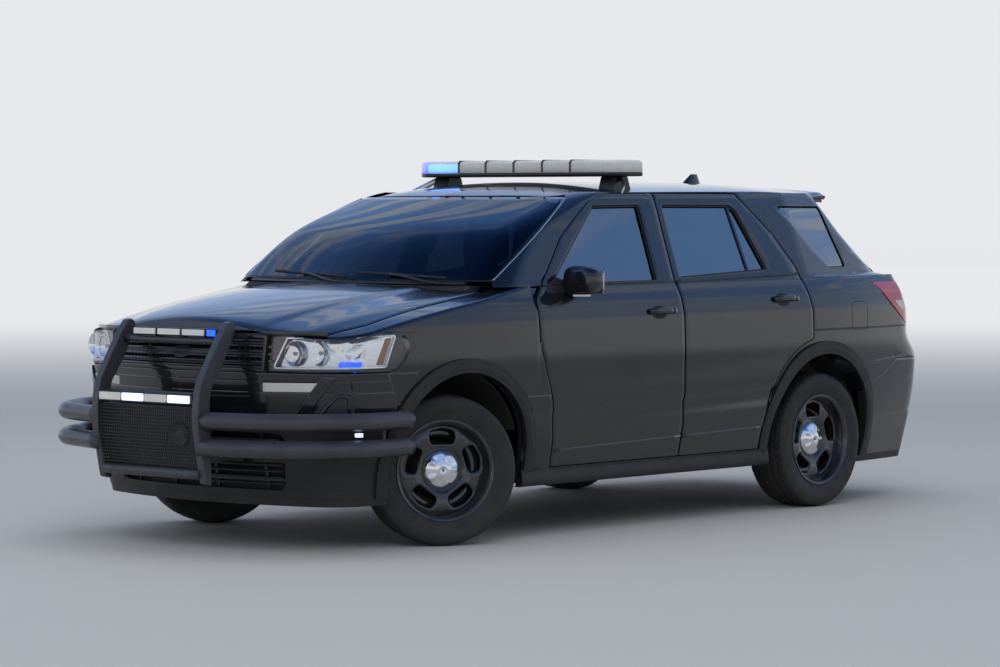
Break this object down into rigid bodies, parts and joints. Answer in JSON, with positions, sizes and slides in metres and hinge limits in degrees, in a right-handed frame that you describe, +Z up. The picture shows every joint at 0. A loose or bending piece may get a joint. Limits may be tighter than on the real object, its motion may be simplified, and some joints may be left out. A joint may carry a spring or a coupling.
{
  "type": "police sport utility vehicle",
  "caption": "Police sport utility vehicle with roof light bar and push bar; doors, hood and tailgate open, front wheels steer and all wheels roll.",
  "frame": {"origin": "on the road, under the middle of the overall box", "axes": "+X to the vehicle's left, +Y to its rear, +Z up"},
  "size_m": [2.291, 5.234, 1.87],
  "materials": {
    "black_paint": "clear-coated gloss",
    "textured_plastic": "fine grained",
    "mirror_shell": "gloss",
    "side_glass": "tinted",
    "clear_glass": "clear",
    "lamp_clear": "clear lens",
    "lamp_red": "red lens",
    "powder_coat": "matte powder coat",
    "chassis_steel": "underseal",
    "cast": "as cast",
    "exhaust_steel": "heat stained",
    "upholstery": "woven",
    "wheel_steel": "satin",
    "tyre_rubber": "rubber"
  },
  "bodies": {
    "body": {"roof_panel": "black_paint", "body_sides": "black_paint", "front_fenders": "black_paint", "lower_cladding": "textured_plastic", "front_bumper": "black_paint", "front_lamps": "lamp_clear", "grille": "textured_plastic", "push_bar": "powder_coat", "push_bar_lights": "lamp_clear", "rear_bumper": "textured_plastic", "tail_lamps": "lamp_red", "fixed_glass": "clear_glass", "floor_pan": "chassis_steel", "front_frame": "chassis_steel", "engine_block": "cast", "rear_subframe": "chassis_steel", "exhaust": "exhaust_steel", "seats": "upholstery", "dashboard": "textured_plastic", "partition": "powder_coat", "light_bar": "lamp_clear", "light_bar_mount": "textured_plastic"},
    "hood": {"hood": "black_paint"},
    "tailgate": {"tailgate": "black_paint", "tailgate_glass": "side_glass"},
    "door_front_left": {"door_front_left": "black_paint", "glass_front_left": "clear_glass", "mirror_left": "mirror_shell"},
    "door_rear_left": {"door_rear_left": "black_paint", "glass_rear_left": "side_glass"},
    "knuckle_left": {"knuckle_left": "cast"},
    "wheel_front_left": {"wheel_front_left": "wheel_steel", "tyre_front_left": "tyre_rubber"},
    "wheel_rear_left": {"wheel_rear_left": "wheel_steel", "tyre_rear_left": "tyre_rubber"},
    "door_front_right": {"door_front_right": "black_paint", "glass_front_right": "clear_glass", "mirror_right": "mirror_shell"},
    "door_rear_right": {"door_rear_right": "black_paint", "glass_rear_right": "side_glass"},
    "knuckle_right": {"knuckle_right": "cast"},
    "wheel_front_right": {"wheel_front_right": "wheel_steel", "tyre_front_right": "tyre_rubber"},
    "wheel_rear_right": {"wheel_rear_right": "wheel_steel", "tyre_rear_right": "tyre_rubber"}
  },
  "joints": [
    {"name": "hood_hinge", "type": "hinge", "parent": "body", "child": "hood", "pos_m": [0, -1.176, 1.202], "axis": [-1, 0, 0], "range_deg": [0, 60]},
    {"name": "tailgate_hinge", "type": "hinge", "parent": "body", "child": "tailgate", "pos_m": [0, 1.718, 1.738], "axis": [1, 0, 0], "range_deg": [0, 80]},
    {"name": "door_front_left_hinge", "type": "hinge", "parent": "body", "child": "door_front_left", "pos_m": [1.005, -0.916, 0.8], "axis": [0, 0, -1], "range_deg": [0, 68]},
    {"name": "door_rear_left_hinge", "type": "hinge", "parent": "body", "child": "door_rear_left", "pos_m": [1.006, 0.216, 0.8], "axis": [0, 0, -1], "range_deg": [0, 68]},
    {"name": "steer_left", "type": "hinge", "parent": "body", "child": "knuckle_left", "pos_m": [0.76, -1.432, 0.3635], "axis": [0, 0, 1], "range_deg": [-7, 65]},
    {"name": "wheel_front_left_spin", "type": "hinge", "parent": "knuckle_left", "child": "wheel_front_left", "pos_m": [0.83959, -1.47612, 0.3635], "axis": [0.8746, -0.4848, 0], "continuous": true},
    {"name": "wheel_rear_left_spin", "type": "hinge", "parent": "body", "child": "wheel_rear_left", "pos_m": [0.851, 1.428, 0.3635], "axis": [1, 0, 0], "continuous": true},
    {"name": "door_front_right_hinge", "type": "hinge", "parent": "body", "child": "door_front_right", "pos_m": [-1.005, -0.916, 0.8], "axis": [0, 0, 1], "range_deg": [0, 68]},
    {"name": "door_rear_right_hinge", "type": "hinge", "parent": "body", "child": "door_rear_right", "pos_m": [-1.006, 0.216, 0.8], "axis": [0, 0, 1], "range_deg": [0, 68]},
    {"name": "steer_right", "type": "hinge", "parent": "body", "child": "knuckle_right", "pos_m": [-0.76, -1.432, 0.3635], "axis": [0, 0, 1], "range_deg": [-7, 65]},
    {"name": "wheel_front_right_spin", "type": "hinge", "parent": "knuckle_right", "child": "wheel_front_right", "pos_m": [-0.83959, -1.38788, 0.3635], "axis": [0.8746, -0.4848, 0], "continuous": true},
    {"name": "wheel_rear_right_spin", "type": "hinge", "parent": "body", "child": "wheel_rear_right", "pos_m": [-0.851, 1.428, 0.3635], "axis": [1, 0, 0], "continuous": true}
  ],
  "couplings": [
    {"joint": "steer_right", "follows": "steer_left", "ratio": 1}
  ]
}
